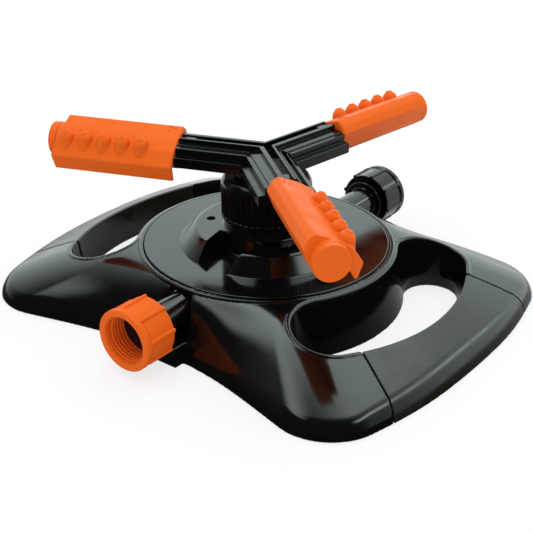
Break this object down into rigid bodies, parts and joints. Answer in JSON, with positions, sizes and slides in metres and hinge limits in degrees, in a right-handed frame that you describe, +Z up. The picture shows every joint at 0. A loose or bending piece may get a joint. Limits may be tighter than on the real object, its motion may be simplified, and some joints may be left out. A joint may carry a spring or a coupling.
{
  "type": "rotating lawn sprinkler",
  "caption": "Low domed garden sprinkler with side grips, a hose coupling, a capped outlet and a spinning rotor whose arms carry tilting spray sleeves.",
  "frame": {"origin": "centre of the ground foot, under the rotor's axis", "axes": "+Z up along the rotor's axis, +X towards one carrying handle, -Y towards the hose inlet"},
  "size_m": [0.294, 0.2624, 0.1004],
  "materials": {
    "black_gloss": "gloss",
    "grip_black": "satin",
    "black_satin": "satin",
    "orange": "satin",
    "white_plastic": "satin",
    "rubber": "matte",
    "steel": "satin"
  },
  "bodies": {
    "base": {"base_body": "black_gloss", "grip_right": "grip_black", "grip_left": "grip_black", "top_cover": "black_gloss", "cover_screw_1": "steel", "cover_screw_2": "steel", "cover_screw_3": "steel", "cover_screw_4": "steel", "water_tee": "black_satin", "tee_clamp": "black_satin", "clamp_screw_1": "steel", "clamp_screw_2": "steel", "retaining_nut": "black_satin", "spindle_seal": "rubber"},
    "rotor": {"rotor_arms": "black_satin", "rotor_spindle": "white_plastic", "thrust_washer": "white_plastic", "spigot_ring_1": "rubber", "spigot_ring_2": "rubber", "spigot_ring_3": "rubber"},
    "nozzle_1": {"spray_sleeve_1": "orange", "end_cap_1": "orange"},
    "nozzle_2": {"spray_sleeve_2": "orange", "end_cap_2": "orange"},
    "nozzle_3": {"spray_sleeve_3": "orange", "end_cap_3": "orange"},
    "hose_coupling": {"inlet_coupling": "orange", "inlet_washer": "rubber"},
    "cap_washer": {"outlet_washer": "rubber"},
    "screw_cap": {"outlet_cap": "black_satin"}
  },
  "joints": [
    {"name": "rotor_spin", "type": "hinge", "parent": "base", "child": "rotor", "pos_m": [0, 0, 0], "axis": [0, 0, 1], "continuous": true},
    {"name": "sleeve_tilt_1", "type": "hinge", "parent": "rotor", "child": "nozzle_1", "pos_m": [0, 0, 0.087], "axis": [-0.9287, -0.3707, 0], "range_deg": [-45, 45]},
    {"name": "sleeve_tilt_2", "type": "hinge", "parent": "rotor", "child": "nozzle_2", "pos_m": [0, 0, 0.087], "axis": [0.7854, -0.619, 0], "range_deg": [-45, 45]},
    {"name": "sleeve_tilt_3", "type": "hinge", "parent": "rotor", "child": "nozzle_3", "pos_m": [0, 0, 0.087], "axis": [0.1433, 0.9897, 0], "range_deg": [-45, 45]},
    {"name": "coupling_swivel", "type": "hinge", "parent": "base", "child": "hose_coupling", "pos_m": [0, 0, 0.0227], "axis": [0, 1, 0], "continuous": true},
    {"name": "cap_travel", "type": "slide", "parent": "base", "child": "cap_washer", "axis": [0, 1, 0], "range_m": [0, 0.0112]},
    {"name": "cap_turn", "type": "hinge", "parent": "cap_washer", "child": "screw_cap", "pos_m": [0, 0, 0.0227], "axis": [0, 1, 0], "range_deg": [0, 1800]}
  ],
  "couplings": [
    {"joint": "cap_travel", "follows": "cap_turn", "m_per_rad": 0.00035157}
  ]
}
